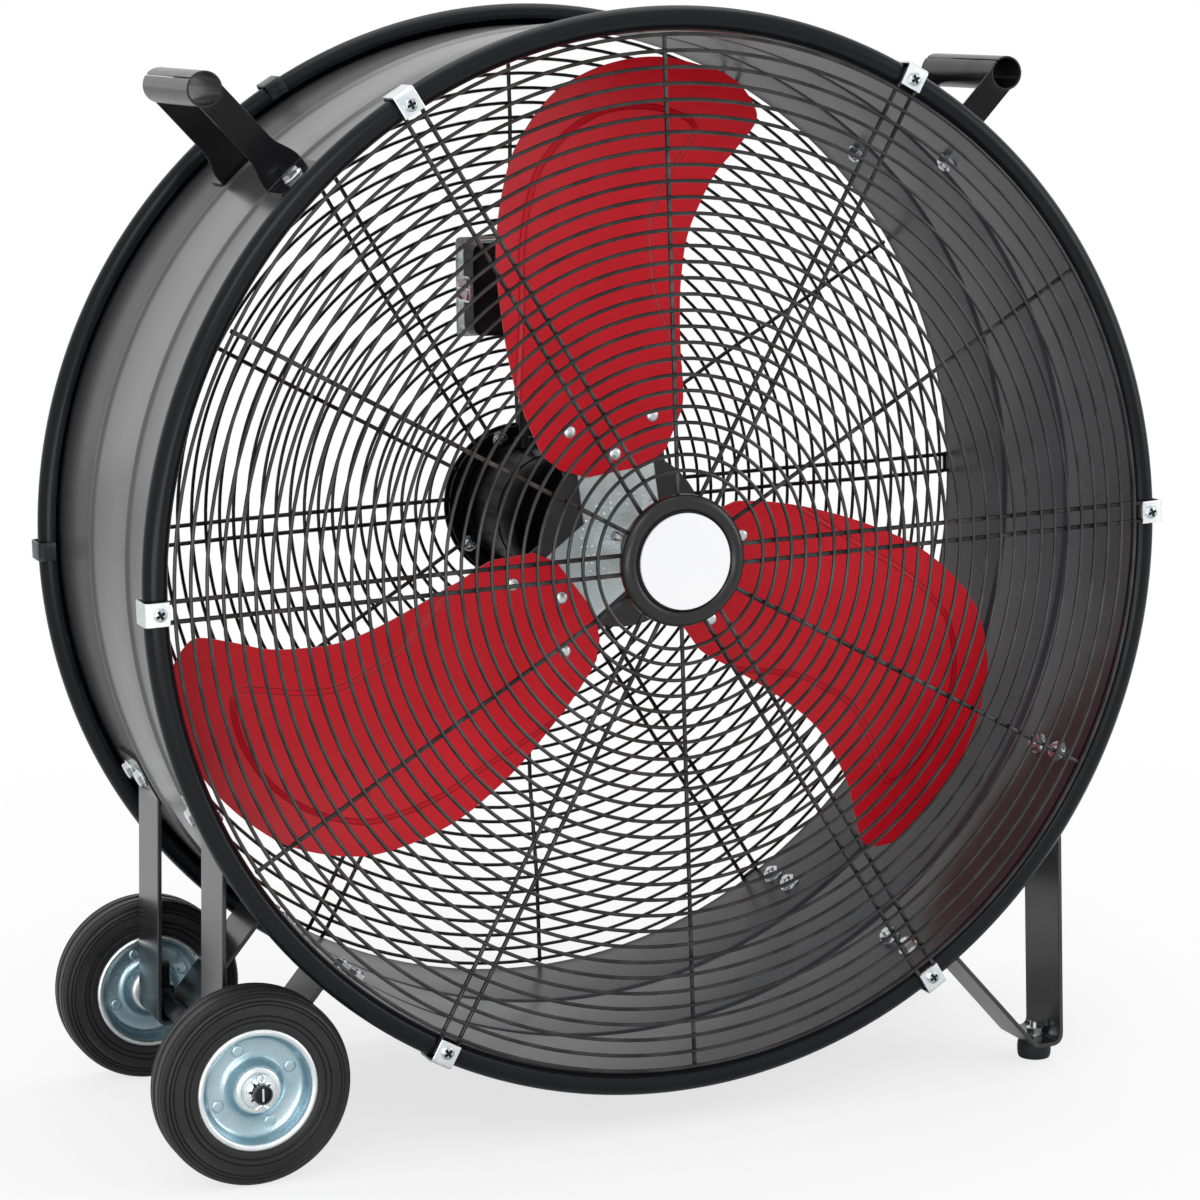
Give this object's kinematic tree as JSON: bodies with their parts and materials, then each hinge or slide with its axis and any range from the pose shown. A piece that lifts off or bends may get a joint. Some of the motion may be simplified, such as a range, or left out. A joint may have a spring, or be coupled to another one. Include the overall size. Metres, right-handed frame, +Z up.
{
  "type": "drum fan",
  "caption": "Large drum fan: rolled steel drum with wire guards, pressed red blades on a direct drive motor, carrying handles, two wheels and rubber feet",
  "frame": {"origin": "on the floor under the centre of the fan, midway in width and in depth", "axes": "+Z up, +X to the right seen from the air outlet, -Y the way the air is blown"},
  "size_m": [0.854, 0.373, 0.8774],
  "materials": {
    "drum_black": "satin black paint",
    "wire_black": "gloss black paint",
    "zinc": "bright zinc plate",
    "cap_black": "gloss black",
    "disc_white": "plain white",
    "blade_red": "gloss red paint",
    "boss_steel": "bright turned steel",
    "motor_black": "black paint",
    "box_plastic": "black",
    "lead_rubber": "black",
    "bracket_black": "gloss black paint",
    "foot_rubber": "black",
    "tyre_rubber": "black",
    "wheel_zinc": "blue zinc plate"
  },
  "bodies": {
    "stand": {"axle": "bracket_black", "axle_nuts": "wire_black", "axle_studs": "wire_black", "axle_washers": "zinc", "bracket_bolts": "zinc", "bracket_nuts": "zinc", "drum": "drum_black", "foot_bracket_front": "bracket_black", "foot_bracket_rear": "bracket_black", "foot_nuts": "zinc", "foot_studs": "zinc", "front_guard": "wire_black", "front_guard_clips": "zinc", "guard_centre_plate": "wire_black", "handle_bolts": "zinc", "handle_left_grip": "bracket_black", "handle_left_legs": "bracket_black", "handle_nuts": "zinc", "handle_right_grip": "bracket_black", "handle_right_legs": "bracket_black", "hub_cap": "cap_black", "hub_cap_disc": "disc_white", "motor_bell": "motor_black", "motor_lead": "lead_rubber", "motor_lead_gland": "box_plastic", "motor_screws": "zinc", "motor_shell": "motor_black", "rear_guard": "wire_black", "rear_guard_clips": "wire_black", "rotary_switch": "box_plastic", "rubber_foot_front": "foot_rubber", "rubber_foot_rear": "foot_rubber", "switch_box": "motor_black", "switch_plate": "zinc", "wheel_bracket_front": "bracket_black", "wheel_bracket_rear": "bracket_black"},
    "rotor": {"blade_1": "blade_red", "blade_2": "blade_red", "blade_3": "blade_red", "blade_trefoil_plate": "zinc", "blade_spider": "wire_black", "hub_boss": "boss_steel", "hub_flange": "wire_black", "blade_rivets": "zinc", "hub_set_screw": "zinc", "motor_shaft": "boss_steel"},
    "front_wheel": {"tyre_front": "tyre_rubber", "wheel_disc_front": "wheel_zinc", "wheel_tube_front": "wheel_zinc"},
    "rear_wheel": {"tyre_rear": "tyre_rubber", "wheel_disc_rear": "wheel_zinc", "wheel_tube_rear": "wheel_zinc"},
    "knob": {"speed_knob": "box_plastic"}
  },
  "joints": [
    {"name": "fan_spin", "type": "hinge", "parent": "stand", "child": "rotor", "pos_m": [0, -0.09, 0.453], "axis": [0, 1, 0], "continuous": true},
    {"name": "front_wheel_spin", "type": "hinge", "parent": "stand", "child": "front_wheel", "pos_m": [-0.346, -0.1545, 0.075], "axis": [0, 1, 0], "continuous": true},
    {"name": "rear_wheel_spin", "type": "hinge", "parent": "stand", "child": "rear_wheel", "pos_m": [-0.346, 0.1375, 0.075], "axis": [0, 1, 0], "continuous": true},
    {"name": "speed_select", "type": "hinge", "parent": "stand", "child": "knob", "pos_m": [-0.026, 0.17, 0.6381], "axis": [0, 1, 0], "range_deg": [0, 120]}
  ]
}
